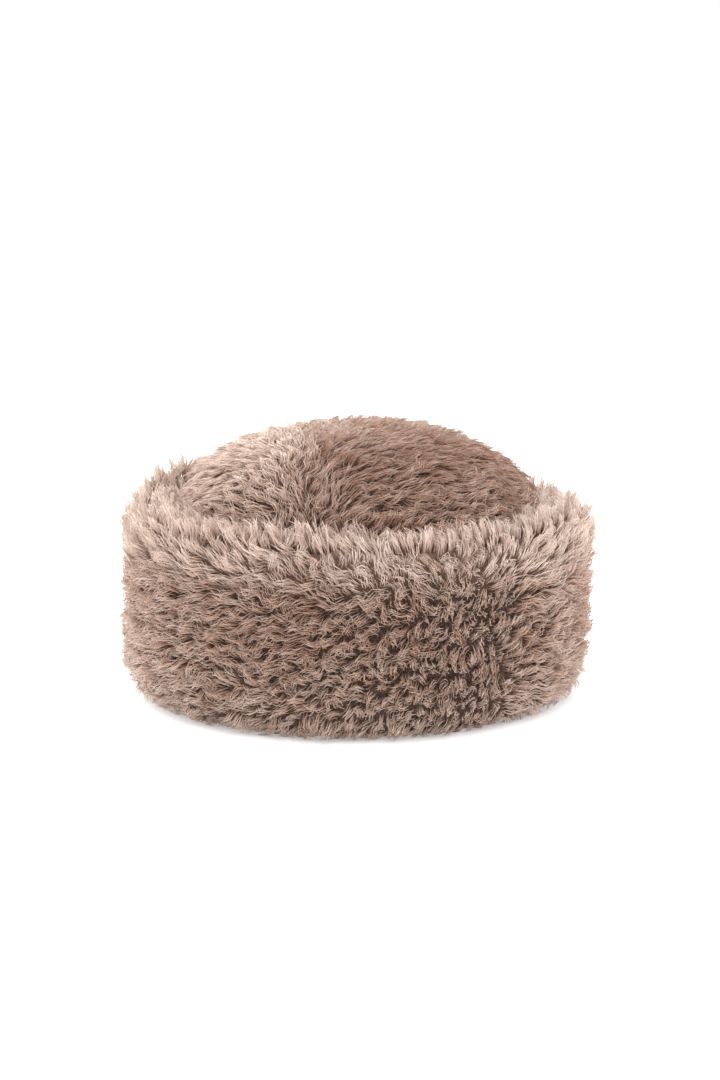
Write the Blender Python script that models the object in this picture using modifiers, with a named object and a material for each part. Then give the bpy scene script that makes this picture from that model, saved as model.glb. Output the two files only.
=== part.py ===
"""A round fur hat with a turned-up cuff, resting on a table the way it would lie by itself.

Metres, +Z up, the front at -Y. The origin is the middle of the ring of cuff that the hat rests on. Each piece is
a body of fur cloth, up to where its pile is dense, with the ends of the pile standing on it in leaning locks. The
body is worked out round and then settled: the soft hat is a little deeper than it is wide, its cuff stands higher
at the back left, and its top leans a little to the right.
"""

import math
import random
from collections import namedtuple

import bmesh
import bpy
import numpy as np
from mathutils import Vector

# The hat's driving sizes, the outer ones over the tips of the fur
HEAD_OPENING_WIDTH = 0.178
HAT_WIDTH = 0.250
CROWN_TOP = 0.1427
CUFF_TOP = 0.1050
DEPTH_TO_WIDTH = 1.06

# Cloth, and how far the locks stand off it
CLOTH = 0.0030
SEAT_GAP = 0.0003
CROWN_PILE = 0.0075
CUFF_PILE = 0.0085
RIM_PILE = 0.0110

# The cuff's section, as the edge of its body
CUFF_INSIDE = HEAD_OPENING_WIDTH / 2 + CLOTH + SEAT_GAP
CUFF_OUTSIDE = HAT_WIDTH / 2 - CUFF_PILE
FOOT_OUTSIDE = 0.1020
CREST_RADIUS = 0.1065
CREST_HEIGHT = CUFF_TOP - RIM_PILE
RIM_DROP = 0.016
HEM_RISE = 0.018
CUFF_COLUMNS = 96
WALL_ROWS = 7
ROUND_ROWS = 3

# The crown's section: a dome between a quarter circle and a box
CROWN_OUTSIDE = HEAD_OPENING_WIDTH / 2 + CLOTH
CROWN_SHOULDER = 0.084
CROWN_CLOTH_TOP = CROWN_TOP - CROWN_PILE
DOME_ROUND_POWER = 0.82
DOME_RISE_POWER = 1.29
DOME_SAMPLES = 400
SIDE_ROWS = 2
ICOSPHERE_STEPS = 4

# The way the pile lies: it parts along one line of the cuff and one line of the crown
CUFF_PARTING_TURN = math.radians(-51)
CUFF_PARTING_WIDTH = math.radians(14)
CUFF_BACK_TURN = math.radians(95)
CROWN_PARTING_X = -0.031
CROWN_PARTING_WIDTH = 0.014
SWIRL = math.radians(24)
SWIRLS_ROUND = 5
SWIRL_HEIGHT = 0.075
LOCK_VARIATION = 0.30
LOCK_TURN = math.radians(26)
ROOT_SHIFT = 0.0019
SEED = 11

# How the soft hat has settled
BACK_LEFT_TURN = math.radians(145)
BACK_LEFT_SPREAD = math.radians(24)
BACK_LEFT_LIFT = 0.006
LEAN_TO_RIGHT = 0.0015
LEAST_TIP_HEIGHT = 0.0008

# Locks by the height of their root: how far the tip stands off the cloth, how far it leans along it, and how much
# of the lean is pulled away from the nap and upwards, from -1 straight down to 1 straight up
Locks = namedtuple("Locks", "root_height stand lean pull")
CUFF_LOCKS = (
    Locks(0.001, 0.0060, 0.0050, -0.85),
    Locks(0.008, 0.0080, 0.0065, -0.45),
    Locks(0.022, CUFF_PILE, 0.0080, -0.05),
    Locks(0.066, CUFF_PILE, 0.0075, 0.10),
    Locks(0.084, CUFF_PILE, 0.0050, 0.60),
    Locks(CREST_HEIGHT, RIM_PILE, 0.0020, 0.90),
)
CROWN_LOCKS = (
    Locks(CROWN_SHOULDER, 0.0012, 0.0045, 1.00),
    Locks(0.092, 0.0030, 0.0050, 0.90),
    Locks(0.102, 0.0060, 0.0065, 0.30),
    Locks(0.114, CROWN_PILE, 0.0075, 0.00),
    Locks(CROWN_CLOTH_TOP, CROWN_PILE, 0.0075, 0.00),
)
# In the valley between crown and cuff the tips of each keep to their own side
VALLEY_TOP = CUFF_TOP + 0.008
CROWN_TIP_MOST_RADIUS = 0.0960
CUFF_TIP_LEAST_RADIUS = 0.0975
CUFF_BARE_INSIDE = 0.0950

TAUPE = (0.46, 0.37, 0.33, 1)
DARK_TAUPE = (0.40, 0.31, 0.28, 1)


def smooth_step(low, high, value):
    """0 below low and 1 above high, with a soft change between them."""
    share = min(max((value - low) / (high - low), 0.0), 1.0)
    return share * share * (3 - 2 * share)


def turn_between(first, second):
    """The angle from the first turn to the second, between -180 and 180 degrees."""
    return (second - first + math.pi) % (2 * math.pi) - math.pi


def arc(centre_radius, centre_height, half_width, half_height, start, end, steps):
    """Points of a quarter round in a section, as (radius, height), from one angle in degrees to another."""
    points = []
    for step in range(steps + 1):
        angle = math.radians(start + (end - start) * step / steps)
        points.append((centre_radius + half_width * math.cos(angle), centre_height + half_height * math.sin(angle)))
    return points


def settled(point):
    """Where a point of the round hat lies once the soft hat has settled."""
    x, y, z = point
    off_lift = turn_between(BACK_LEFT_TURN, math.atan2(y, x)) / BACK_LEFT_SPREAD
    on_cuff = smooth_step(CUFF_INSIDE, CREST_RADIUS, math.hypot(x, y))
    lift = BACK_LEFT_LIFT * math.exp(-off_lift * off_lift) * on_cuff * smooth_step(0.03, CREST_HEIGHT, z)
    return Vector((x + LEAN_TO_RIGHT * smooth_step(0, CUFF_TOP, z), y * DEPTH_TO_WIDTH, z + lift))


def lock_values(table, height):
    """The stand, lean and pull of a lock rooted at this height, read between the table's rows."""
    heights = [row.root_height for row in table]
    stand = np.interp(height, heights, [row.stand for row in table])
    lean = np.interp(height, heights, [row.lean for row in table])
    pull = np.interp(height, heights, [row.pull for row in table])
    return float(stand), float(lean), float(pull)


def cuff_nap(root):
    """The way the cuff's pile lies round the hat: to the left, but right and up past the parting."""
    turn = math.atan2(root.y, root.x)
    around = Vector((-math.sin(turn), math.cos(turn), 0))
    past_front = turn_between(CUFF_PARTING_TURN, turn)
    past_back = turn_between(CUFF_BACK_TURN, turn)
    to_right = smooth_step(-CUFF_PARTING_WIDTH, CUFF_PARTING_WIDTH, past_front)
    to_right *= 1 - smooth_step(-CUFF_PARTING_WIDTH, CUFF_PARTING_WIDTH, past_back)
    side = 2 * to_right - 1
    rise = 0.55 * to_right + 0.9 * (1 - side * side) - 0.15 * (1 - to_right)
    swirl = SWIRL * math.sin(SWIRLS_ROUND * turn + 2 * math.pi * root.z / SWIRL_HEIGHT)
    angle = math.atan2(rise, side) + swirl
    return around * math.cos(angle) + Vector((0, 0, math.sin(angle)))


def crown_nap(root):
    """The way the crown's pile lies: to the left on its left third and to the right on the rest."""
    past = root.x - CROWN_PARTING_X
    side = 2 * smooth_step(-CROWN_PARTING_WIDTH, CROWN_PARTING_WIDTH, past) - 1
    swirl = SWIRL * math.sin(2 * math.pi * (root.x + 2 * root.y) / (2 * SWIRL_HEIGHT))
    angle = math.atan2(0.5 * (1 - abs(side)), side) + swirl
    return Vector((math.cos(angle), math.sin(angle), 0.0))


def shift_roots(body, furred, draw):
    """Moves the corners between furred faces a little along the cloth, so that the locks stand in no rows."""
    inside = set(furred)
    for corner in body.verts:
        if not all(face in inside for face in corner.link_faces):
            continue
        sideways = corner.normal.orthogonal().normalized()
        across = corner.normal.cross(sideways)
        corner.co += sideways * draw.uniform(-ROOT_SHIFT, ROOT_SHIFT)
        corner.co += across * draw.uniform(-ROOT_SHIFT, ROOT_SHIFT)
    body.normal_update()


def raise_locks(body, furred, table, nap, draw):
    """Makes each of these faces one lock: a tip that stands off the cloth and leans with the nap."""
    places = []
    for face in furred:
        root = face.calc_center_median()
        normal = face.normal
        stand, lean, pull = lock_values(table, root.z)
        upward = Vector((0, 0, 1)) - normal * normal.z
        along = nap(root) * (1 - abs(pull)) + upward * pull
        along = (along - normal * along.dot(normal)).normalized()
        turned = draw.uniform(-LOCK_TURN, LOCK_TURN)
        along = along * math.cos(turned) + normal.cross(along) * math.sin(turned)
        grown = 1 - draw.uniform(0, LOCK_VARIATION)
        places.append(root + normal * stand * grown + along * lean)
    tips = bmesh.ops.poke(body, faces=furred, center_mode="MEAN")["verts"]
    for tip, place in zip(tips, places):
        tip.co = place
    return tips


def keep_apart(tips, least_radius, most_radius):
    """Keeps the tips over the table and, in the valley, on their own piece's side."""
    for tip in tips:
        tip.co.z = max(tip.co.z, LEAST_TIP_HEIGHT)
        radius = math.hypot(tip.co.x, tip.co.y)
        if tip.co.z < VALLEY_TOP and radius > 0:
            kept = min(max(radius, least_radius), most_radius)
            tip.co.x *= kept / radius
            tip.co.y *= kept / radius


def fur_material(name, colour):
    material = bpy.data.materials.new(name)
    material.use_nodes = True
    shader = material.node_tree.nodes["Principled BSDF"]
    shader.inputs["Base Color"].default_value = colour
    shader.inputs["Roughness"].default_value = 0.9
    shader.inputs["Metallic"].default_value = 0.0
    return material


def made_solid(guide):
    """What an object's modifiers make of it, as a bmesh. The object itself goes."""
    graph = bpy.context.evaluated_depsgraph_get()
    mesh = bpy.data.meshes.new_from_object(guide.evaluated_get(graph))
    body = bmesh.new()
    body.from_mesh(mesh)
    bmesh.ops.remove_doubles(body, verts=body.verts, dist=1e-6)
    bmesh.ops.recalc_face_normals(body, faces=body.faces)
    body.normal_update()
    bpy.data.objects.remove(guide)
    bpy.data.meshes.remove(mesh)
    return body


def linked_object(name, mesh, collection):
    piece = bpy.data.objects.new(name, mesh)
    collection.objects.link(piece)
    return piece


def finished(name, body, material, collection):
    """A bmesh of the round hat, settled, as an object of this name."""
    for vertex in body.verts:
        vertex.co = settled(vertex.co)
    bmesh.ops.recalc_face_normals(body, faces=body.faces)
    mesh = bpy.data.meshes.new(name)
    body.to_mesh(mesh)
    body.free()
    mesh.materials.append(material)
    return linked_object(name, mesh, collection)


def cuff_section():
    """The edge of the cuff's body, as (radius, height): over the rim, down the outside, under and up the inside."""
    rim_base = CREST_HEIGHT - RIM_DROP
    rim_inside = arc(CREST_RADIUS, rim_base, CREST_RADIUS - CUFF_INSIDE, RIM_DROP, 180, 90, ROUND_ROWS)
    rim_outside = arc(CREST_RADIUS, rim_base, CUFF_OUTSIDE - CREST_RADIUS, RIM_DROP, 90, 0, ROUND_ROWS - 1)
    wall = []
    for row in range(1, WALL_ROWS):
        wall.append((CUFF_OUTSIDE, rim_base + (HEM_RISE - rim_base) * row / WALL_ROWS))
    hem = arc(FOOT_OUTSIDE, HEM_RISE, CUFF_OUTSIDE - FOOT_OUTSIDE, HEM_RISE, 0, -90, ROUND_ROWS)
    return rim_inside + rim_outside[1:] + wall + hem + [(CUFF_INSIDE, 0.0)]


def make_cuff(collection, draw):
    """The turned-up band: a padded ring of fur cloth, furred everywhere but inside and underfoot."""
    section = cuff_section()
    edges = [(index, (index + 1) % len(section)) for index in range(len(section))]
    profile = bpy.data.meshes.new("cuff_section")
    profile.from_pydata([(radius, 0, height) for radius, height in section], edges, [])
    ring = linked_object("cuff_section", profile, collection)
    screw = ring.modifiers.new("turn", "SCREW")
    screw.angle = 2 * math.pi
    screw.steps = CUFF_COLUMNS
    screw.render_steps = CUFF_COLUMNS
    screw.use_merge_vertices = True
    screw.merge_threshold = 0.00001
    body = made_solid(ring)
    furred = []
    for face in body.faces:
        middle = face.calc_center_median()
        underfoot = face.normal.z < -0.99
        if math.hypot(middle.x, middle.y) > CUFF_BARE_INSIDE and not underfoot:
            furred.append(face)
    shift_roots(body, furred, draw)
    tips = raise_locks(body, furred, CUFF_LOCKS, cuff_nap, draw)
    keep_apart(tips, CUFF_TIP_LEAST_RADIUS, HAT_WIDTH)
    return finished("cuff", body, fur_material("cuff_fur", TAUPE), collection)


def dome_edge():
    """The dome from its top down to its side: the share of its length, the radius and the height, as arrays."""
    angles = np.linspace(0, math.pi / 2, DOME_SAMPLES)
    rise = CROWN_CLOTH_TOP - CROWN_SHOULDER
    radii = CROWN_OUTSIDE * np.sin(angles) ** DOME_ROUND_POWER
    heights = CROWN_SHOULDER + rise * np.maximum(np.cos(angles), 0) ** DOME_RISE_POWER
    lengths = np.concatenate([[0], np.cumsum(np.hypot(np.diff(radii), np.diff(heights)))])
    return lengths / lengths[-1], radii, heights


def dome_body():
    """Half an icosphere, shaped to the dome and drawn straight down to the head opening."""
    body = bmesh.new()
    bmesh.ops.create_icosphere(body, subdivisions=ICOSPHERE_STEPS, radius=1.0)
    everything = body.verts[:] + body.edges[:] + body.faces[:]
    bmesh.ops.bisect_plane(body, geom=everything, dist=1e-5, plane_no=(0, 0, 1), clear_inner=True)
    shares, radii, heights = dome_edge()
    for vertex in body.verts:
        turn = math.atan2(vertex.co.y, vertex.co.x)
        off_top = math.atan2(math.hypot(vertex.co.x, vertex.co.y), max(vertex.co.z, 0.0))
        share = off_top / (math.pi / 2)
        radius = np.interp(share, shares, radii)
        vertex.co = (radius * math.cos(turn), radius * math.sin(turn), np.interp(share, shares, heights))
    for row in range(1, SIDE_ROWS + 1):
        edge_loop = [edge for edge in body.edges if edge.is_boundary]
        drawn = bmesh.ops.extrude_edge_only(body, edges=edge_loop)["geom"]
        for vertex in drawn:
            if isinstance(vertex, bmesh.types.BMVert):
                vertex.co.z = CROWN_SHOULDER * (1 - row / SIDE_ROWS)
    bmesh.ops.recalc_face_normals(body, faces=body.faces)
    return body


def make_crown(collection, draw):
    """The domed cap: one thickness of fur cloth, open underneath, furred where it stands out of the cuff."""
    body = dome_body()
    shell = bpy.data.meshes.new("crown_shell")
    body.to_mesh(shell)
    body.free()
    cap = linked_object("crown_shell", shell, collection)
    wall = cap.modifiers.new("cloth", "SOLIDIFY")
    wall.thickness = CLOTH
    wall.offset = -1.0
    body = made_solid(cap)
    furred = []
    for face in body.faces:
        middle = face.calc_center_median()
        outside = Vector((middle.x, middle.y, middle.z - CROWN_SHOULDER)).dot(face.normal) > 0
        if outside and middle.z > CROWN_SHOULDER:
            furred.append(face)
    shift_roots(body, furred, draw)
    tips = raise_locks(body, furred, CROWN_LOCKS, crown_nap, draw)
    keep_apart(tips, 0.0, CROWN_TIP_MOST_RADIUS)
    return finished("crown", body, fur_material("crown_fur", DARK_TAUPE), collection)


def main():
    for old in list(bpy.data.objects):
        bpy.data.objects.remove(old)
    collection = bpy.data.collections.new("fur_hat")
    bpy.context.scene.collection.children.link(collection)
    draw = random.Random(SEED)
    make_cuff(collection, draw)
    make_crown(collection, draw)


main()
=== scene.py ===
"""The looks of the round fur hat: the cloth it is sewn from and the pile that grows on it, strand by strand.

Metres, +Z up, the front at -Y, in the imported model's frame. Left and right are as seen from the front. The
hat is worked out round and then settled, in the space that the model's solids hold: a cap of cloth inside a
padded ring of cloth. Strands of pile grow on both. Each strand belongs to a lock, leans the way its lock
leans, and draws in towards the lock's tip.
"""

import itertools
import math
from collections import namedtuple

import bmesh
import bpy
import numpy as np
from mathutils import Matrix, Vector, noise


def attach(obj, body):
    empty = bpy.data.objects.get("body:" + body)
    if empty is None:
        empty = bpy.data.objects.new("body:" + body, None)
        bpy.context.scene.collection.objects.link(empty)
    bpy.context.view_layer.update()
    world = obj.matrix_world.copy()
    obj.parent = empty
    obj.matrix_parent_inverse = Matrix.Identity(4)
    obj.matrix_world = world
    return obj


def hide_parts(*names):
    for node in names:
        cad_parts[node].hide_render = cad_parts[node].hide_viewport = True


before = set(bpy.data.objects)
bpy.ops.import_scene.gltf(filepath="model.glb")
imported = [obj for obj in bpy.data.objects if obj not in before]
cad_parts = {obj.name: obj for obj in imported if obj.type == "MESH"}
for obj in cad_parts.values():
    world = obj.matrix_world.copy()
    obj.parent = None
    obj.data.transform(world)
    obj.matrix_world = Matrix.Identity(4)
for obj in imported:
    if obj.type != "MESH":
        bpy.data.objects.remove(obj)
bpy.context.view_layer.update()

# The hat's driving sizes, the outer ones over the tips of the pile
HEAD_OPENING_WIDTH = 0.178
HAT_WIDTH = 0.250
CROWN_TOP = 0.1427
CUFF_TOP = 0.1050
DEPTH_TO_WIDTH = 1.06
CLOTH = 0.0030
SEAT_GAP = 0.0003

# How deep the pile is, from the cloth it grows on to the tips
CUFF_PILE = 0.0105
RIM_PILE = 0.0140
CROWN_PILE = 0.0080

# The cuff's cloth, as a section
CUFF_INSIDE = HEAD_OPENING_WIDTH / 2 + CLOTH + SEAT_GAP
CUFF_OUTSIDE = HAT_WIDTH / 2 - CUFF_PILE
CREST_RADIUS = 0.1080
CREST_HEIGHT = CUFF_TOP - RIM_PILE
RIM_DROP = 0.013
HEM_RISE = 0.018
FOOT_OUTSIDE = 0.0975
FOOT_HEIGHT = 0.0010
CUFF_BARE_INSIDE = 0.0935
RIM_PANEL_FROM = 0.0815
ROUND_ROWS = 7
WALL_ROWS = 16
COLUMNS = 144

# The crown's cloth, as a section. The rows of the dome lie closer together towards its top.
CROWN_OUTSIDE = HEAD_OPENING_WIDTH / 2 + CLOTH
CROWN_SHOULDER = 0.084
CROWN_CLOTH_TOP = CROWN_TOP - CROWN_PILE
CROWN_FUR_FROM = 0.080
DOME_ROUND_POWER = 0.82
DOME_RISE_POWER = 0.98
DOME_ROWS = 36
DOME_ROW_POWER = 1.3
SIDE_ROWS = 6

MERGE_DISTANCE = 0.00001
TINY = 1e-9
UP = np.array([0.0, 0.0, 1.0])

# The way the pile lies. It parts along a line of the cuff's front, another of its back and one of the crown.
CUFF_PARTING_TURN = math.radians(-51)
CUFF_PARTING_WIDTH = math.radians(10)
CUFF_PARTING_WANDER = math.radians(9)
CUFF_BACK_TURN = math.radians(95)
CUFF_RISE_TO_RIGHT = 0.50
CUFF_RISE_TO_LEFT = -0.10
CUFF_RISE_AT_PARTING = 0.60
CUFF_REACH_AT_PARTING = 0.60
CROWN_PARTING_X = -0.031
CROWN_PARTING_WIDTH = 0.034
CROWN_PARTING_WANDER = 0.010
CROWN_BACKWARD_AT_PARTING = 0.70
CROWN_REACH_AT_PARTING = 0.70
RISE_AT_PARTING = 0.85
DRAW_AT_PARTING = 0.35

# Soft random hills: the size of one, how high they go, how much finer or wider some of them are, how far they
# turn the pile, and where in the noise each kind of them is read
SWIRL_SIZE = 0.016
SWIRL_HEIGHT = 1.8
WANDER_FINENESS = 2
TONE_FINENESS = 0.6
CUFF_SWIRL = math.radians(42)
CROWN_SWIRL = math.radians(28)
NAP_NOISE = (3.1, 9.2, 6.5)
CUFF_WANDER_NOISE = (1.3, 4.4, 8.1)
CROWN_WANDER_NOISE = (6.2, 0.4, 5.5)
CUFF_TONE_NOISE = (7.3, 1.1, 4.2)
CROWN_TONE_NOISE = (2.7, 5.1, 8.4)

# Where the pile is paler than its height says, and by how much. Besides the parting and the random swirl of
# tone, this is painted light: the crown's left third, where the pile's lie catches the light, and the sides
# of the cuff and the crown's far right, lit from behind at their edges.
PALER_AT_PARTING = 0.08
CROWN_PAINTED_LIGHT_LEFT = 0.40
CROWN_PAINTED_LIGHT_WIDTH = 0.011
CROWN_PAINTED_LIGHT_FAR_RIGHT = 0.14
CROWN_FAR_RIGHT = (0.052, 0.082)
CUFF_PAINTED_LIGHT_LEFT = 0.26
CUFF_LEFT_FROM_X = 0.055
CUFF_PAINTED_LIGHT_RIGHT = 0.14
CUFF_RIGHT_FROM_X = 0.040
TONE_SWIRL = 0.10

# How the soft hat has settled
BACK_LEFT_TURN = math.radians(150)
BACK_LEFT_SPREAD = math.radians(26)
BACK_LEFT_LIFT = 0.012
BACK_LIFT = 0.003
BACK_LIFT_BY = 0.09
LIFT_FROM = 0.03
LEAN_TO_RIGHT = 0.0020
CROWN_LEAN_TO_LEFT = 0.0025
CROWN_LEAN_FROM = 0.095

# Locks by the height of their root: how far the tip rises off the cloth, how far it reaches along it, how
# much of the reach is pulled from the nap upwards, from -1 straight down to 1 straight up, how far locks turn
# from the nap to either side, what share of the way their strands draw in to the middle, and how pale the
# lock is, from 0 to 1
Locks = namedtuple("Locks", "root_height rise reach pull turn draw tone")
# The cuff's tones by height are partly painted light and shade: the pale rim stands in for light from above,
# the darker band under it for the rim's shade, and the paler hem for light from the glowing table below.
CUFF_LOCKS = (
    Locks(0.001, 0.0025, 0.0050, -0.80, 0.60, 0.50, 0.48),
    Locks(0.008, 0.0070, 0.0065, -0.30, 0.75, 0.52, 0.56),
    Locks(0.022, 0.0115, 0.0070, -0.05, 0.90, 0.54, 0.44),
    Locks(0.060, 0.0115, 0.0070, 0.10, 0.90, 0.54, 0.28),
    Locks(0.072, 0.0115, 0.0090, 0.35, 0.80, 0.30, 0.36),
    Locks(0.081, 0.0135, 0.0090, 0.55, 0.70, 0.22, 0.70),
    Locks(CREST_HEIGHT, 0.0160, 0.0060, 0.60, 0.75, 0.24, 0.80),
)
# The crown's tones by height are partly painted light: its paler top stands in for light from above.
CROWN_LOCKS = (
    Locks(CROWN_FUR_FROM, 0.0040, 0.0060, 1.00, 0.40, 0.50, 0.14),
    Locks(0.092, 0.0060, 0.0080, 0.80, 0.45, 0.58, 0.14),
    Locks(0.102, 0.0075, 0.0095, 0.30, 0.55, 0.62, 0.18),
    Locks(0.124, 0.0085, 0.0105, 0.00, 0.60, 0.62, 0.20),
    Locks(0.131, 0.0090, 0.0100, 0.00, 0.60, 0.55, 0.34),
    Locks(CROWN_CLOTH_TOP, 0.0090, 0.0095, 0.00, 0.60, 0.50, 0.48),
)

# How much locks, and strands within a lock, differ from each other, each as the least and the most. Laid is
# the share of its rise that a lock keeps. A stray strand rises higher than its lock, isn't drawn in to it,
# and goes further to the side.
LOCK_GROWTH = (0.78, 1.06)
LOCK_TURN = (-1.0, 1.0)
LOCK_TONE = (-0.13, 0.13)
LOCK_LAID = (0.58, 1.0)
LOCK_SEED = 5
MOST_LOCKS_PER_SQUARE_METRE = 1e6
STRAND_GROWTH = (0.74, 1.08)
STRAND_TURN = (-0.35, 0.35)
STRAND_TONE = (-0.16, 0.16)
STRAND_ASTRAY = (-0.0014, 0.0014)
STRAND_THICKNESS = (0.6, 1.1)
STRAY_SHARE = 0.05
STRAY_RISE = 0.2
STRAY_ASTRAY = 3.0

# How a strand bends: the powers of the place along it that say how soon it draws in and reaches out, how many
# radians of wave it holds, and how far the wave swings
DRAW_POWER = 1.3
REACH_POWER = 1.5
WAVE_TURN = 7.0
WAVE = 0.0016

# A strand: how wide it is at each place along it, for a thickness of one
STRAND_RINGS = ((0.30, 1.0), (0.68, 0.78))
STRAND_SIDES = 3

# The bake's map of a strand: how much of the map it takes, the margin it leaves, and how far apart its sides
# are in it
MAP_SHARE = 0.96
MAP_MARGIN = 0.02
MAP_SIDES_APART = 0.004

# Panels of pile, each a piece of its own. Bare cloth has panel 0.
Panel = namedtuple("Panel", "name number strands lock_spacing strand_width curl seed")
CUFF_PANELS = (
    Panel("cuff_pile_front_left", 1, 9800, 0.0035, 0.00056, 0.0040, 11),
    Panel("cuff_pile_front_right", 2, 9800, 0.0035, 0.00056, 0.0040, 12),
    Panel("cuff_pile_back_right", 3, 9800, 0.0035, 0.00056, 0.0040, 13),
    Panel("cuff_pile_back_left", 4, 9800, 0.0035, 0.00056, 0.0040, 14),
    Panel("rim_pile_front", 5, 9000, 0.0035, 0.00054, 0.0040, 15),
    Panel("rim_pile_back", 6, 9000, 0.0035, 0.00054, 0.0040, 16),
)
CROWN_PANELS = (
    Panel("crown_pile_front", 1, 11500, 0.0033, 0.00054, 0.0036, 21),
    Panel("crown_pile_back", 2, 11500, 0.0033, 0.00054, 0.0036, 22),
)

# No strand goes lower than this
FLOOR_GAP = 0.0003

# Colours of the pile, of the fluff it stands in, and of the cloth's back
FUR_ROOT = (0.10, 0.050, 0.034, 1)
FUR_BODY = (0.37, 0.192, 0.122, 1)
FUR_TIP = (0.70, 0.56, 0.48, 1)
# The fluff's browns are darkened as painted shade deep between the strands, less so near the rim
FLUFF_PAINTED_SHADE_DEEP = (0.06, 0.036, 0.028, 1)
FLUFF_PAINTED_SHADE_LIGHT = (0.15, 0.095, 0.075, 1)
FLUFF_LESS_PAINTED_SHADE_AT_RIM = (0.22, 0.135, 0.098, 1)
FLUFF_LESS_SHADE_FROM = 0.066
FLUFF_LESS_SHADE_OVER = 0.02
# The knit's deep colour is painted shade in the hollows between its loops
KNIT_PAINTED_HOLLOW_SHADE = (0.22, 0.16, 0.13, 1)
KNIT_LIGHT = (0.46, 0.37, 0.31, 1)

# Where along a strand the colours meet, when it is deep and when it is pale, and between which tones it turns
# from deep to pale
DEEP_ROOT_TO_BODY = (0.05, 0.50)
DEEP_BODY_TO_TIP = (0.45, 1.0)
DEEP_TIP_SHARE = 0.48
PALE_BODY_TO_TIP = (0.0, 0.60)
DEEP_TO_PALE = (0.10, 0.95)

CAMERA_DISTANCE = 1.25
CAMERA_ELEVATION = math.radians(10.4)
CAMERA_AIM_HEIGHT = 0.070
CAMERA_LENS_MM = 79
CAMERA_SENSOR_MM = 36
CAMERA_SHIFT = (0.0046, 0.0148)

FLOOR_REACH = 6
STUDIO_BRIGHTNESS = 1.15
Light = namedtuple("Light", "name place aim size watts")
LIGHTS = (
    Light("key", (0.3, -1.2, 1.4), (0, 0, 0.06), 1.0, 11),
    Light("top", (0.0, 0.7, 1.7), (0, 0, 0.06), 1.6, 30),
    Light("left", (-1.2, 1.0, 0.6), (0, 0, 0.07), 0.9, 22),
    Light("right", (1.2, 0.9, 0.6), (0, 0, 0.07), 0.9, 3),
)


def smooth_step(low, high, value):
    """0 below low and 1 above high, with a soft change between them. Takes numbers or arrays."""
    share = np.clip((value - low) / (high - low), 0.0, 1.0)
    return share * share * (3 - 2 * share)


def turn_between(first, second):
    """The angle from the first turn to the second, between -180 and 180 degrees."""
    return (second - first + math.pi) % (2 * math.pi) - math.pi


def unit(vectors):
    """The vectors, each made one long."""
    return vectors / np.maximum(np.linalg.norm(vectors, axis=1, keepdims=True), TINY)


def along_cloth(vectors, normals):
    """The vectors turned into the cloth, each made one long."""
    return unit(vectors - normals * np.sum(vectors * normals, axis=1, keepdims=True))


def eased(at_parting, off_parting):
    """A share that is at_parting in the middle of a parting and 1 away from it."""
    return at_parting + (1 - at_parting) * off_parting


def swirl(points, place_in_noise, fineness=1):
    """A soft random number from about -1 to 1 for each point."""
    shift = Vector(place_in_noise)
    places = [Vector(point) / SWIRL_SIZE + shift for point in points * fineness]
    return np.array([noise.noise(place) for place in places]) * SWIRL_HEIGHT


def settled(points):
    """Where points of the round hat lie once the soft hat has settled."""
    x, y, z = points.T
    off_lift = turn_between(BACK_LEFT_TURN, np.arctan2(y, x)) / BACK_LEFT_SPREAD
    on_cuff = smooth_step(CUFF_INSIDE, CREST_RADIUS, np.hypot(x, y))
    lift = BACK_LEFT_LIFT * np.exp(-off_lift * off_lift) + BACK_LIFT * smooth_step(0.0, BACK_LIFT_BY, y)
    lift = lift * on_cuff * smooth_step(LIFT_FROM, CREST_HEIGHT, z)
    lean = LEAN_TO_RIGHT * smooth_step(0, CUFF_TOP, z)
    lean = lean - CROWN_LEAN_TO_LEFT * smooth_step(CROWN_LEAN_FROM, CROWN_TOP, z)
    return np.stack([x + lean, y * DEPTH_TO_WIDTH, z + lift], axis=1)


class Field:
    """A value in a node tree that can be reckoned with: each sign adds the math node that works it out."""

    def __init__(self, tree, socket):
        self.tree = tree
        self.socket = socket
        self.is_vector = socket.type == "VECTOR"

    def output(self, name):
        """Another output of the node that this value comes from."""
        found = [socket for socket in self.socket.node.outputs if socket.enabled and socket.name == name]
        return Field(self.tree, found[0])

    def __add__(self, other):
        return self.tree.math("ADD", self, other)

    def __sub__(self, other):
        return self.tree.math("SUBTRACT", self, other)

    def __rsub__(self, other):
        return self.tree.math("SUBTRACT", other, self)

    def __mul__(self, other):
        return self.tree.math("MULTIPLY", self, other)

    def __pow__(self, power):
        return self.tree.math("POWER", self, power)


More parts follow.
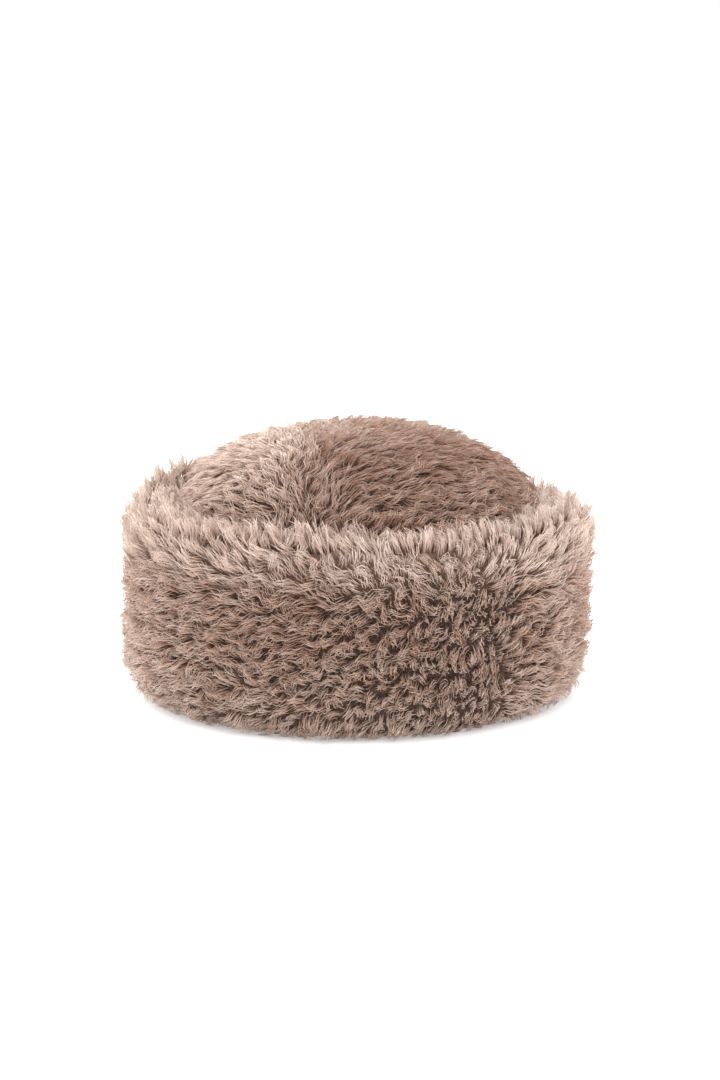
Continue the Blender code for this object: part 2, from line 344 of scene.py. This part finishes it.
class Nodes:
    """A node tree while it is built."""

    def __init__(self, tree):
        self.tree = tree

    def add(self, kind, inputs=(), **settings):
        """Adds a node with these settings and inputs, by name or in order, and gives its first output."""
        node = self.tree.nodes.new(kind)
        for name, setting in settings.items():
            setattr(node, name, setting)
        open_sockets = [socket for socket in node.inputs if socket.enabled]
        if isinstance(inputs, dict):
            by_name = {socket.name: socket for socket in reversed(open_sockets)}
            pairs = [(by_name[name], value) for name, value in inputs.items()]
        else:
            pairs = zip(open_sockets, inputs)
        for socket, value in pairs:
            self.feed(socket, value)
        outputs = [socket for socket in node.outputs if socket.enabled]
        return Field(self, outputs[0]) if outputs else node

    def feed(self, socket, value):
        """Gives a node's input a value: another node's, or a plain one."""
        if isinstance(value, Field):
            self.tree.links.new(value.socket, socket)
        else:
            socket.default_value = value

    def math(self, operation, *values):
        """The math node of numbers, or of vectors where one of the values is one."""
        vectors = [value for value in values if isinstance(value, Field) and value.is_vector]
        if operation == "MULTIPLY" and len(vectors) == 1:
            number = next(value for value in values if value is not vectors[0])
            inputs = {"Vector": vectors[0], "Scale": number}
            return self.add("ShaderNodeVectorMath", inputs, operation="SCALE")
        kind = "ShaderNodeVectorMath" if vectors else "ShaderNodeMath"
        return self.add(kind, values, operation=operation)

    def socket(self, name, kind, value=None, in_out="INPUT"):
        """A named input or output of the tree."""
        made = self.tree.interface.new_socket(name=name, in_out=in_out, socket_type=kind)
        if value is not None:
            made.default_value = value
        return made

    def named(self, name, data_type="FLOAT"):
        """A stored attribute, read by its name."""
        return self.add("GeometryNodeInputNamedAttribute", {"Name": name}, data_type=data_type)

    def stored(self, geometry, name, value, data_type="FLOAT", domain="POINT"):
        """The geometry with the value kept on it under this name."""
        inputs = {"Geometry": geometry, "Name": name, "Value": value}
        return self.add("GeometryNodeStoreNamedAttribute", inputs, data_type=data_type, domain=domain)

    def mixed(self, share, first, second):
        """One colour turning into another by a share from 0 to 1."""
        node = self.add("ShaderNodeMix", data_type="RGBA").socket.node
        open_inputs = [socket for socket in node.inputs if socket.enabled]
        for socket, value in zip(open_inputs, (share, first, second)):
            self.feed(socket, value)
        return Field(self, next(socket for socket in node.outputs if socket.enabled))

    def ramped(self, value, low, high):
        """A share that goes softly from 0 to 1 as the value goes from low to high."""
        inputs = {"Value": value, "From Min": low, "From Max": high, "To Min": 0.0, "To Max": 1.0}
        return self.add("ShaderNodeMapRange", inputs, interpolation_type="SMOOTHSTEP")


PILE_INPUTS = (
    ("Cloth", "NodeSocketGeometry", None),
    ("Strand", "NodeSocketObject", None),
    ("Finish", "NodeSocketMaterial", None),
    ("Panel", "NodeSocketInt", 1),
    ("Density", "NodeSocketFloat", 1.0),
    ("Lock Spacing", "NodeSocketFloat", 0.004),
    ("Strand Width", "NodeSocketFloat", 0.0005),
    ("Curl", "NodeSocketFloat", 0.003),
    ("Wave", "NodeSocketFloat", 0.0006),
    ("Floor", "NodeSocketFloat", -1.0),
    ("Seed", "NodeSocketInt", 1),
)


def spread_locks(nodes, given):
    """The locks: points spread evenly over all of the cloth."""
    spread = {
        "Mesh": given.output("Cloth"),
        "Distance Min": given.output("Lock Spacing"),
        "Density Max": MOST_LOCKS_PER_SQUARE_METRE,
        "Seed": LOCK_SEED,
    }
    locks = nodes.add("GeometryNodeDistributePointsOnFaces", spread, distribute_method="POISSON")
    return nodes.stored(locks, "up", locks.output("Normal"), "FLOAT_VECTOR")


def rooted_strands(nodes, given, locks):
    """The roots of the strands: points at random on the panel, each with what its nearest lock gives it."""
    panels = [nodes.named("panel", "INT"), given.output("Panel")]
    scatter = {
        "Mesh": given.output("Cloth"),
        "Selection": nodes.add("FunctionNodeCompare", panels, data_type="INT", operation="EQUAL"),
        "Density": given.output("Density"),
        "Seed": given.output("Seed"),
    }
    roots = nodes.add("GeometryNodeDistributePointsOnFaces", scatter, distribute_method="RANDOM")
    place = nodes.add("GeometryNodeInputPosition")
    strand = nodes.add("GeometryNodeInputIndex")
    near = {"Geometry": locks, "Sample Position": place}
    lock = nodes.add("GeometryNodeSampleNearest", near, domain="POINT")
    seeds = itertools.count(1)

    def drawn_for(owner, low_and_high):
        low, high = low_and_high
        inputs = {"Min": low, "Max": high, "ID": owner, "Seed": next(seeds)}
        return nodes.add("FunctionNodeRandomValue", inputs, data_type="FLOAT")

    def of_lock(value, data_type="FLOAT_VECTOR"):
        inputs = {"Geometry": locks, "Value": value, "Index": lock}
        return nodes.add("GeometryNodeSampleIndex", inputs, data_type=data_type, domain="POINT")

    centre = of_lock(place)
    up = of_lock(nodes.named("up", "FLOAT_VECTOR"))
    lean = of_lock(nodes.named("lean", "FLOAT_VECTOR"))
    rise = of_lock(nodes.named("rise"), "FLOAT")
    reach = of_lock(nodes.named("reach"), "FLOAT")
    growth = drawn_for(lock, LOCK_GROWTH) * drawn_for(strand, STRAND_GROWTH)
    turn = (drawn_for(lock, LOCK_TURN) + drawn_for(strand, STRAND_TURN)) * nodes.named("turn")
    tone = nodes.named("tone") + (drawn_for(lock, LOCK_TONE) + drawn_for(strand, STRAND_TONE))
    stray = nodes.math("GREATER_THAN", drawn_for(strand, (0.0, 1.0)), 1 - STRAY_SHARE)
    laid = drawn_for(lock, LOCK_LAID) + stray * STRAY_RISE
    side = nodes.math("CROSS_PRODUCT", up, lean)
    lean = lean * nodes.math("COSINE", turn) + side * nodes.math("SINE", turn)
    kept = (
        ("root", place, "FLOAT_VECTOR"),
        ("off_centre", place - centre, "FLOAT_VECTOR"),
        ("lock_up", up, "FLOAT_VECTOR"),
        ("lock_lean", lean, "FLOAT_VECTOR"),
        ("lock_rise", rise * growth * laid, "FLOAT"),
        ("lock_reach", reach * growth, "FLOAT"),
        ("lock_curl", drawn_for(lock, (-1.0, 1.0)) * given.output("Curl"), "FLOAT"),
        ("lock_phase", drawn_for(lock, (0.0, 2 * math.pi)), "FLOAT"),
        ("astray", drawn_for(strand, STRAND_ASTRAY) * (stray * STRAY_ASTRAY + 1.0), "FLOAT"),
        ("drawn", nodes.named("draw") * (1.0 - stray), "FLOAT"),
        ("shade", tone, "FLOAT"),
        ("thickness", drawn_for(strand, STRAND_THICKNESS) * given.output("Strand Width"), "FLOAT"),
    )
    for name, value, data_type in kept:
        roots = nodes.stored(roots, name, value, data_type)
    return roots


def bent_strands(nodes, given, pile):
    """Each point of each strand goes to its place along the lock's bend, and none goes below the floor."""
    along = nodes.named("along")
    up = nodes.named("lock_up", "FLOAT_VECTOR")
    lean = nodes.named("lock_lean", "FLOAT_VECTOR")
    side = nodes.math("CROSS_PRODUCT", up, lean)
    rise = nodes.named("lock_rise")
    reach = nodes.named("lock_reach")
    swing = nodes.math("SINE", along * WAVE_TURN + nodes.named("lock_phase")) * given.output("Wave")
    sideways = (nodes.named("lock_curl") * along + swing + nodes.named("astray")) * along
    drawn_in = nodes.named("off_centre", "FLOAT_VECTOR") * (nodes.named("drawn") * along ** DRAW_POWER)
    spine = nodes.named("root", "FLOAT_VECTOR") + up * (rise * (along * (2.0 - along)))
    spine = spine + lean * (reach * along ** REACH_POWER) + side * sideways - drawn_in
    heading = up * (rise * (2.0 - along * 2.0))
    heading = heading + lean * (reach * REACH_POWER * along ** (REACH_POWER - 1))
    over = nodes.math("NORMALIZE", nodes.math("CROSS_PRODUCT", side, heading))
    around = nodes.add("ShaderNodeSeparateXYZ", [nodes.named("around", "FLOAT_VECTOR")])
    radius = nodes.named("thickness") * 0.5
    spot = spine + side * (around * radius) + over * (around.output("Y") * radius)
    height = nodes.add("ShaderNodeSeparateXYZ", [spot]).output("Z")
    short_of_floor = nodes.math("MAXIMUM", height, given.output("Floor")) - height
    lifted = nodes.add("ShaderNodeCombineXYZ", {"Z": short_of_floor})
    return nodes.add("GeometryNodeSetPosition", {"Geometry": pile, "Position": spot + lifted})


def mapped_strands(nodes, pile):
    """The bake's map: across it goes a strand's tone, up it the place along the strand."""
    tone = nodes.add("ShaderNodeClamp", [nodes.named("shade"), 0.0, 1.0])
    pile = nodes.stored(pile, "tone", tone)
    around = nodes.add("ShaderNodeSeparateXYZ", [nodes.named("around", "FLOAT_VECTOR")])
    across = tone * MAP_SHARE + MAP_MARGIN + around.output("Z") * MAP_SIDES_APART
    spot = nodes.add("ShaderNodeCombineXYZ", [across, nodes.named("along") * MAP_SHARE + MAP_MARGIN])
    return nodes.stored(pile, "OFBake", spot, "FLOAT2", "CORNER")


def pile_tree():
    """Grows pile on a cloth: strands on one panel of it, each bent the way its lock goes."""
    nodes = Nodes(bpy.data.node_groups.new("pile", "GeometryNodeTree"))
    for name, kind, value in PILE_INPUTS:
        nodes.socket(name, kind, value)
    nodes.socket("Pile", "NodeSocketGeometry", in_out="OUTPUT")
    given = nodes.add("NodeGroupInput")
    roots = rooted_strands(nodes, given, spread_locks(nodes, given))
    one_strand = nodes.add("GeometryNodeObjectInfo", {"Object": given.output("Strand")}).output("Geometry")
    grown = nodes.add("GeometryNodeInstanceOnPoints", {"Points": roots, "Instance": one_strand})
    pile = nodes.add("GeometryNodeRealizeInstances", {"Geometry": grown})
    pile = bent_strands(nodes, given, pile)
    pile = mapped_strands(nodes, pile)
    pile = nodes.add("GeometryNodeSetMaterial", {"Geometry": pile, "Material": given.output("Finish")})
    nodes.add("NodeGroupOutput", [pile])
    return nodes.tree


# What a finished cloth and a finished panel of pile no longer need
CLOTH_ATTRIBUTES = ("lean", "rise", "reach", "turn", "draw", "tone", "panel")
PILE_ATTRIBUTES = (
    "root", "off_centre", "lock_up", "lock_lean", "lock_rise", "lock_reach", "lock_curl", "lock_phase",
    "astray", "drawn", "shade", "thickness", "around", "lean", "rise", "reach", "turn", "draw", "panel", "up",
)


def strip(mesh, names):
    """Takes these attributes off a mesh, where it has them."""
    for name in names:
        if name in mesh.attributes:
            mesh.attributes.remove(mesh.attributes[name])


def linked_object(name, data):
    """A new object of the scene, made of a mesh, a lens or a lamp."""
    made = bpy.data.objects.new(name, data)
    bpy.context.scene.collection.objects.link(made)
    return made


def strand_mesh():
    """One strand: a thin closed spindle. It knows how far along and where around each of its points is."""
    body = bmesh.new()
    along = body.verts.layers.float.new("along")
    around = body.verts.layers.float_vector.new("around")

    def point(share, x, y, turn):
        made = body.verts.new((x, y, share))
        made[along] = share
        made[around] = Vector((x, y, turn))
        return made

    root = point(0.0, 0.0, 0.0, 0.5)
    rings = []
    for share, width in STRAND_RINGS:
        ring = []
        for corner in range(STRAND_SIDES):
            angle = 2 * math.pi * corner / STRAND_SIDES
            ring.append(point(share, width * math.cos(angle), width * math.sin(angle), corner / STRAND_SIDES))
        rings.append(ring)
    tip = point(1.0, 0.0, 0.0, 0.5)
    for corner in range(STRAND_SIDES):
        following = (corner + 1) % STRAND_SIDES
        body.faces.new((root, rings[0][following], rings[0][corner]))
        for lower, upper in zip(rings, rings[1:]):
            body.faces.new((lower[corner], lower[following], upper[following], upper[corner]))
        body.faces.new((tip, rings[-1][corner], rings[-1][following]))
    mesh = bpy.data.meshes.new("strand")
    body.to_mesh(mesh)
    body.free()
    mesh.shade_smooth()
    return mesh


def arc(centre_radius, centre_height, half_width, half_height, start, end, steps):
    """Points of a quarter round in a section, as (radius, height), from one angle in degrees to another."""
    points = []
    for step in range(steps + 1):
        angle = math.radians(start + (end - start) * step / steps)
        radius = centre_radius + half_width * math.cos(angle)
        points.append((radius, centre_height + half_height * math.sin(angle)))
    return points


def cuff_section():
    """The edge of the cuff's cloth, as (radius, height): over the rim, down outside, under and up inside."""
    rim_base = CREST_HEIGHT - RIM_DROP
    hem_top = FOOT_HEIGHT + HEM_RISE
    rim_inside = arc(CREST_RADIUS, rim_base, CREST_RADIUS - CUFF_INSIDE, RIM_DROP, 180, 90, ROUND_ROWS)
    rim_outside = arc(CREST_RADIUS, rim_base, CUFF_OUTSIDE - CREST_RADIUS, RIM_DROP, 90, 0, ROUND_ROWS)
    wall = []
    for row in range(1, WALL_ROWS):
        wall.append((CUFF_OUTSIDE, rim_base + (hem_top - rim_base) * row / WALL_ROWS))
    hem = arc(FOOT_OUTSIDE, hem_top, CUFF_OUTSIDE - FOOT_OUTSIDE, HEM_RISE, 0, -90, ROUND_ROWS)
    inside = [(CUFF_INSIDE, FOOT_HEIGHT)]
    return rim_inside + rim_outside[1:] + wall + hem + inside


def crown_section():
    """The edge of the crown's cloth: down over the dome and the side to the opening, and back up inside."""
    outside = []
    for row in range(DOME_ROWS + 1):
        angle = math.pi / 2 * (row / DOME_ROWS) ** DOME_ROW_POWER
        rise = max(math.cos(angle), 0.0) ** DOME_RISE_POWER
        radius = CROWN_OUTSIDE * math.sin(angle) ** DOME_ROUND_POWER
        outside.append((radius, CROWN_SHOULDER + (CROWN_CLOTH_TOP - CROWN_SHOULDER) * rise))
    for row in range(1, SIDE_ROWS + 1):
        outside.append((CROWN_OUTSIDE, CROWN_SHOULDER * (1 - row / SIDE_ROWS)))
    points = np.array(outside)
    tangents = np.gradient(points, axis=0)
    tangents[0] = (1, 0)
    tangents[-1] = (0, -1)
    inward = unit(np.stack([tangents[:, 1], -tangents[:, 0]], axis=1))
    inside = points + inward * CLOTH
    inside[0][0] = 0.0
    return outside + [tuple(point) for point in inside[::-1]]


def turned(name, section, closed):
    """The section turned about the Z axis, as a bmesh whose faces point outwards."""
    count = len(section)
    last = count if closed else count - 1
    edges = [(index, (index + 1) % count) for index in range(last)]
    profile = bpy.data.meshes.new(name)
    profile.from_pydata([(radius, 0, height) for radius, height in section], edges, [])
    guide = linked_object(name, profile)
    screw = guide.modifiers.new("turn", "SCREW")
    screw.angle = 2 * math.pi
    screw.steps = COLUMNS
    screw.render_steps = COLUMNS
    screw.use_merge_vertices = True
    screw.merge_threshold = MERGE_DISTANCE
    graph = bpy.context.evaluated_depsgraph_get()
    mesh = bpy.data.meshes.new_from_object(guide.evaluated_get(graph))
    body = bmesh.new()
    body.from_mesh(mesh)
    bmesh.ops.remove_doubles(body, verts=body.verts, dist=MERGE_DISTANCE / 10)
    bmesh.ops.recalc_face_normals(body, faces=body.faces)
    bpy.data.objects.remove(guide)
    bpy.data.meshes.remove(mesh)
    bpy.data.meshes.remove(profile)
    return body


# How the pile lies at each point: a way along the cloth, the angle from it, what is left of the locks' reach
# in a parting, and how far from a parting the point is, from 0 to 1
Nap = namedtuple("Nap", "sideways angle reach_at_parting off_parting")


def cuff_nap(points):
    """The cuff's pile lies round it: left and a little down, but right and up past the parting."""
    turn = np.arctan2(points[:, 1], points[:, 0])
    wander = CUFF_PARTING_WANDER * swirl(points, CUFF_WANDER_NOISE, WANDER_FINENESS)
    past_front = turn_between(CUFF_PARTING_TURN, turn) + wander
    past_back = turn_between(CUFF_BACK_TURN, turn)
    to_right = smooth_step(-CUFF_PARTING_WIDTH, CUFF_PARTING_WIDTH, past_front)
    to_right = to_right * (1 - smooth_step(-CUFF_PARTING_WIDTH, CUFF_PARTING_WIDTH, past_back))
    side = 2 * to_right - 1
    rise = CUFF_RISE_TO_RIGHT * to_right + CUFF_RISE_TO_LEFT * (1 - to_right)
    rise = rise + CUFF_RISE_AT_PARTING * (1 - side * side)
    around = np.stack([-np.sin(turn), np.cos(turn), np.zeros(len(turn))], axis=1)
    angle = np.arctan2(rise, side) + CUFF_SWIRL * swirl(points, NAP_NOISE)
    return Nap(around, angle, CUFF_REACH_AT_PARTING, np.abs(side))


def crown_nap(points):
    """The crown's pile lies to the left on its left third, to the right on the rest, and back in between."""
    wander = CROWN_PARTING_WANDER * swirl(points, CROWN_WANDER_NOISE, WANDER_FINENESS)
    past = points[:, 0] - CROWN_PARTING_X + wander
    side = 2 * smooth_step(-CROWN_PARTING_WIDTH, CROWN_PARTING_WIDTH, past) - 1
    to_right = np.tile([1.0, 0.0, 0.0], (len(points), 1))
    backward = CROWN_BACKWARD_AT_PARTING * (1 - side * side)
    angle = np.arctan2(backward, side) + CROWN_SWIRL * swirl(points, NAP_NOISE)
    return Nap(to_right, angle, CROWN_REACH_AT_PARTING, np.abs(side))


def cuff_painted_light_and_tone(points):
    """How much paler or darker than its height says the cuff's pile is: painted light on its two sides, where
    light from behind catches the pile at the edges, and tone that differs at random.
    """
    x = points[:, 0]
    # Painted light on both sides, where light from behind catches the pile's edges
    left = CUFF_PAINTED_LIGHT_LEFT * smooth_step(CUFF_LEFT_FROM_X, HAT_WIDTH / 2, -x)
    right = CUFF_PAINTED_LIGHT_RIGHT * smooth_step(CUFF_RIGHT_FROM_X, HAT_WIDTH / 2, x)
    return left + right + TONE_SWIRL * swirl(points, CUFF_TONE_NOISE, TONE_FINENESS)


def crown_painted_light_and_tone(points):
    """The same for the crown: painted light on its left third, where the pile's lie catches the light, and a
    little on its far right, at its edge, and tone that differs at random.
    """
    x = points[:, 0]
    # Painted light on the left third and the far right
    left = CROWN_PAINTED_LIGHT_LEFT * (1 - smooth_step(-CROWN_PAINTED_LIGHT_WIDTH, CROWN_PAINTED_LIGHT_WIDTH, x - CROWN_PARTING_X))
    right = CROWN_PAINTED_LIGHT_FAR_RIGHT * smooth_step(*CROWN_FAR_RIGHT, x)
    return left + right + TONE_SWIRL * swirl(points, CROWN_TONE_NOISE, TONE_FINENESS)


def pile_way(normals, nap, pull):
    """The way along the cloth that each lock lies."""
    angle = nap.angle[:, None]
    upward = along_cloth(UP, normals)
    sideways = along_cloth(nap.sideways, normals)
    across = np.cross(normals, sideways)
    way = sideways * np.cos(angle) + across * np.sin(angle)
    return along_cloth(way * (1 - np.abs(pull)) + upward * pull, normals)


def cloth_object(name, body, table, nap_of, painted_light_and_tone_of, panel_of):
    """The settled cloth as an object, with what its pile needs kept on it."""
    body.normal_update()
    body.verts.ensure_lookup_table()
    points = np.array([vertex.co[:] for vertex in body.verts])
    normals = np.array([vertex.normal[:] for vertex in body.verts])
    heights = [row.root_height for row in table]

    def column(field):
        return np.interp(points[:, 2], heights, [getattr(row, field) for row in table])

    nap = nap_of(points)
    way = pile_way(normals, nap, column("pull")[:, None])
    kept = {
        "rise": column("rise") * eased(RISE_AT_PARTING, nap.off_parting),
        "reach": column("reach") * eased(nap.reach_at_parting, nap.off_parting),
        "turn": column("turn"),
        "draw": column("draw") * eased(DRAW_AT_PARTING, nap.off_parting),
        # The tone holds painted light and shade, from the steps by height and the sides, besides the pile's
        # own tone at random
        "tone": column("tone") + painted_light_and_tone_of(points) + PALER_AT_PARTING * (1 - nap.off_parting),
    }
    panels = [panel_of(face) for face in body.faces]
    for vertex, place in zip(body.verts, settled(points)):
        vertex.co = place
    mesh = bpy.data.meshes.new(name)
    body.to_mesh(mesh)
    body.free()
    mesh.shade_smooth()
    for attribute, values in kept.items():
        mesh.attributes.new(attribute, "FLOAT", "POINT").data.foreach_set("value", values)
    mesh.attributes.new("lean", "FLOAT_VECTOR", "POINT").data.foreach_set("vector", way.ravel())
    mesh.attributes.new("panel", "INT", "FACE").data.foreach_set("value", panels)
    return linked_object(name, mesh)


def cuff_panel(face):
    """The panel that a face of the cuff's cloth belongs to: a quarter of its wall, or half of its rim."""
    middle = face.calc_center_median()
    if math.hypot(middle.x, middle.y) < CUFF_BARE_INSIDE:
        return 0
    if middle.z > RIM_PANEL_FROM:
        return 5 if middle.y < 0 else 6
    if middle.y < 0:
        return 1 if middle.x < 0 else 2
    return 3 if middle.x > 0 else 4


def crown_panel(face):
    """The panel that a face of the crown's cloth belongs to: the front or the back."""
    middle = face.calc_center_median()
    outside = Vector((middle.x, middle.y, middle.z - CROWN_SHOULDER)).dot(face.normal) > 0
    if not outside or middle.z < CROWN_FUR_FROM:
        return 0
    return 1 if middle.y < 0 else 2


def panel_area(cloth, number):
    """The area of one panel of a cloth, in square metres."""
    panels = cloth.data.attributes["panel"].data
    return sum(face.area for face in cloth.data.polygons if panels[face.index].value == number)


def grown(panel, cloth, strand, tree, finish):
    """One panel of pile as a plain mesh object."""
    guide = linked_object(panel.name, cloth.data)
    pile = guide.modifiers.new("pile", "NODES")
    pile.node_group = tree
    settings = {
        "Strand": strand,
        "Finish": finish,
        "Panel": panel.number,
        "Density": panel.strands / panel_area(cloth, panel.number),
        "Lock Spacing": panel.lock_spacing,
        "Strand Width": panel.strand_width,
        "Curl": panel.curl,
        "Wave": WAVE,
        "Floor": FLOOR_GAP,
        "Seed": panel.seed,
    }
    for socket in tree.interface.items_tree:
        if socket.in_out == "INPUT" and socket.name in settings:
            pile[socket.identifier] = settings[socket.name]
    graph = bpy.context.evaluated_depsgraph_get()
    mesh = bpy.data.meshes.new_from_object(guide.evaluated_get(graph))
    mesh.name = panel.name
    bpy.data.objects.remove(guide)
    strip(mesh, PILE_ATTRIBUTES)
    return linked_object(panel.name, mesh)


def strand_colour_group():
    """The colour of a strand: deep at its root, paler to its tip, and paler all along the higher its tone,
    which holds painted light and shade besides the pile's own tone.
    """
    nodes = Nodes(bpy.data.node_groups.new("strand colour", "ShaderNodeTree"))
    for name in ("Root Colour", "Body Colour", "Tip Colour"):
        nodes.socket(name, "NodeSocketColor")
    nodes.socket("Colour", "NodeSocketColor", in_out="OUTPUT")
    given = nodes.add("NodeGroupInput")
    root = given.output("Root Colour")
    body = given.output("Body Colour")
    tip = given.output("Tip Colour")
    along = nodes.add("ShaderNodeAttribute", attribute_name="along").output("Fac")
    tone = nodes.add("ShaderNodeAttribute", attribute_name="tone").output("Fac")
    deep_tip = nodes.mixed(DEEP_TIP_SHARE, body, tip)
    deep = nodes.mixed(nodes.ramped(along, *DEEP_ROOT_TO_BODY), root, body)
    deep = nodes.mixed(nodes.ramped(along, *DEEP_BODY_TO_TIP), deep, deep_tip)
    pale = nodes.mixed(nodes.ramped(along, *PALE_BODY_TO_TIP), body, tip)
    colour = nodes.mixed(nodes.ramped(tone, *DEEP_TO_PALE), deep, pale)
    nodes.add("NodeGroupOutput", [colour])
    return nodes.tree


def new_material(name, settings):
    """A material whose shader has these plain settings, and the nodes to build on."""
    material = bpy.data.materials.new(name)
    material.use_nodes = True
    shader = material.node_tree.nodes["Principled BSDF"]
    for socket, setting in settings.items():
        shader.inputs[socket].default_value = setting
    return material, Nodes(material.node_tree), shader


def fur_finish(name, group):
    """The finish of a pile: matt, with a soft sheen."""
    material, nodes, shader = new_material(name, {
        "Roughness": 0.62,
        "Specular IOR Level": 0.15,
        "Sheen Weight": 0.30,
        "Sheen Roughness": 0.45,
        "Sheen Tint": (1.0, 0.88, 0.80, 1),
    })
    colour = nodes.tree.nodes.new("ShaderNodeGroup")
    colour.node_tree = group
    colour.inputs["Root Colour"].default_value = FUR_ROOT
    colour.inputs["Body Colour"].default_value = FUR_BODY
    colour.inputs["Tip Colour"].default_value = FUR_TIP
    nodes.tree.links.new(colour.outputs["Colour"], shader.inputs["Base Color"])
    return material


def fluff_finish(name, less_shade_above=None):
    """The short dense fluff between the strands: its own deep brown, darkened as painted shade deep between
    the strands and in the low spots of its bumps, soft and uneven, and with less of that painted shade above
    a height.
    """
    material, nodes, shader = new_material(name, {"Roughness": 0.95, "Specular IOR Level": 0.1})
    place = nodes.add("ShaderNodeTexCoord").output("Object")
    fluff = nodes.add("ShaderNodeTexNoise", {"Vector": place, "Scale": 900.0, "Detail": 3.0})
    # Painted shade: the fluff is darkest where its bumps are lowest
    colour = nodes.mixed(nodes.ramped(fluff, 0.35, 0.7), FLUFF_PAINTED_SHADE_DEEP, FLUFF_PAINTED_SHADE_LIGHT)
    if less_shade_above is not None:
        # Less painted shade near the rim
        height = nodes.add("ShaderNodeSeparateXYZ", [place]).output("Z")
        paler = nodes.ramped(height, less_shade_above, less_shade_above + FLUFF_LESS_SHADE_OVER)
        colour = nodes.mixed(paler, colour, FLUFF_LESS_PAINTED_SHADE_AT_RIM)
    bump = nodes.add("ShaderNodeBump", {"Height": fluff, "Strength": 0.8, "Distance": 0.001})
    nodes.feed(shader.inputs["Base Color"], colour)
    nodes.feed(shader.inputs["Normal"], bump)
    return material


def knit_finish(name):
    """The knitted back of the fur cloth: small loops in rows, darker in their hollows as painted shade."""
    material, nodes, shader = new_material(name, {"Roughness": 0.9, "Specular IOR Level": 0.15})
    place = nodes.add("ShaderNodeTexCoord").output("Object")
    rows = nodes.add("ShaderNodeTexWave", {"Vector": place, "Scale": 190.0, "Distortion": 1.2, "Detail": 1.0},
                     bands_direction="Z")
    loops = nodes.add("ShaderNodeTexVoronoi", {"Vector": place, "Scale": 620.0})
    height = rows.output("Fac") * 0.6 + loops * 0.8
    bump = nodes.add("ShaderNodeBump", {"Height": height, "Strength": 0.5, "Distance": 0.0006})
    # Painted shade: darker where the loops and rows are lowest
    colour = nodes.mixed(nodes.ramped(height, 0.2, 1.1), KNIT_PAINTED_HOLLOW_SHADE, KNIT_LIGHT)
    nodes.feed(shader.inputs["Base Color"], colour)
    nodes.feed(shader.inputs["Normal"], bump)
    return material


def make_camera():
    """The camera at the photograph's angle to the hat."""
    lens = bpy.data.cameras.new("camera")
    lens.lens = CAMERA_LENS_MM
    lens.sensor_width = CAMERA_SENSOR_MM
    lens.shift_x, lens.shift_y = CAMERA_SHIFT
    lens.clip_start = 0.01
    camera = linked_object("camera", lens)
    back = Vector((0, -math.cos(CAMERA_ELEVATION), math.sin(CAMERA_ELEVATION)))
    camera.location = Vector((0, 0, CAMERA_AIM_HEIGHT)) + back * CAMERA_DISTANCE
    camera.rotation_euler = (-back).to_track_quat("-Z", "Y").to_euler()
    bpy.context.scene.camera = camera


def make_floor():
    """A plain white table that glows a little."""
    mesh = bpy.data.meshes.new("floor")
    body = bmesh.new()
    bmesh.ops.create_grid(body, x_segments=1, y_segments=1, size=FLOOR_REACH)
    body.to_mesh(mesh)
    body.free()
    material, _, _ = new_material("floor", {
        "Base Color": (0.92, 0.92, 0.92, 1),
        "Emission Color": (1, 1, 1, 1),
        "Emission Strength": 0.32,
        "Roughness": 0.9,
        "Specular IOR Level": 0.0,
    })
    mesh.materials.append(material)
    floor = linked_object("floor", mesh)


def make_lights():
    """Soft light from in front, from above and behind, and from both sides, in a white studio."""
    world = bpy.data.worlds.new("studio")
    world.use_nodes = True
    world.node_tree.nodes["Background"].inputs["Color"].default_value = (1, 1, 1, 1)
    world.node_tree.nodes["Background"].inputs["Strength"].default_value = STUDIO_BRIGHTNESS
    bpy.context.scene.world = world
    bpy.context.scene.view_settings.view_transform = "Standard"
    for light in LIGHTS:
        lamp = bpy.data.lights.new(light.name, "AREA")
        lamp.size = light.size
        lamp.energy = light.watts
        made = linked_object(light.name, lamp)
        made.location = light.place
        towards = Vector(light.aim) - Vector(light.place)
        made.rotation_euler = towards.to_track_quat("-Z", "Y").to_euler()


def finish_cloths(cuff, crown):
    """Gives both cloths their fluff, and the crown the knitted back of the cloth where it is bare."""
    cuff.data.materials.append(fluff_finish("cuff_ground", FLUFF_LESS_SHADE_FROM))
    crown.data.materials.append(fluff_finish("crown_ground"))
    crown.data.materials.append(knit_finish("knit_back"))
    panels = crown.data.attributes["panel"].data
    for face in crown.data.polygons:
        face.material_index = 1 if panels[face.index].value == 0 else 0
    strip(cuff.data, CLOTH_ATTRIBUTES)
    strip(crown.data, CLOTH_ATTRIBUTES)


def make_hat():
    """The hat's pieces: the panels of pile on its cuff and crown, and the two cloths."""
    group = strand_colour_group()
    crown_fur = fur_finish("crown_fur", group)
    cuff_fur = fur_finish("cuff_fur", group)
    cuff_ring = turned("cuff", cuff_section(), closed=True)
    cuff = cloth_object("cuff_cloth", cuff_ring, CUFF_LOCKS, cuff_nap, cuff_painted_light_and_tone, cuff_panel)
    crown_cap = turned("crown", crown_section(), closed=False)
    crown = cloth_object("crown_cloth", crown_cap, CROWN_LOCKS, crown_nap, crown_painted_light_and_tone, crown_panel)
    strand = linked_object("strand", strand_mesh())
    tree = pile_tree()
    pieces = []
    for panel in CUFF_PANELS:
        piece = grown(panel, cuff, strand, tree, cuff_fur)
        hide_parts("cuff")
        pieces.append(piece)
    for panel in CROWN_PANELS:
        piece = grown(panel, crown, strand, tree, crown_fur)
        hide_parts("crown")
        pieces.append(piece)
    bpy.data.objects.remove(strand)

    finish_cloths(cuff, crown)
    for cloth, node in ((cuff, "cuff"), (crown, "crown")):
        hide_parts(node)
        pieces.append(cloth)
    for piece in pieces:
        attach(piece, "root")


def main():
    make_camera()
    make_floor()
    make_lights()
    make_hat()


main()
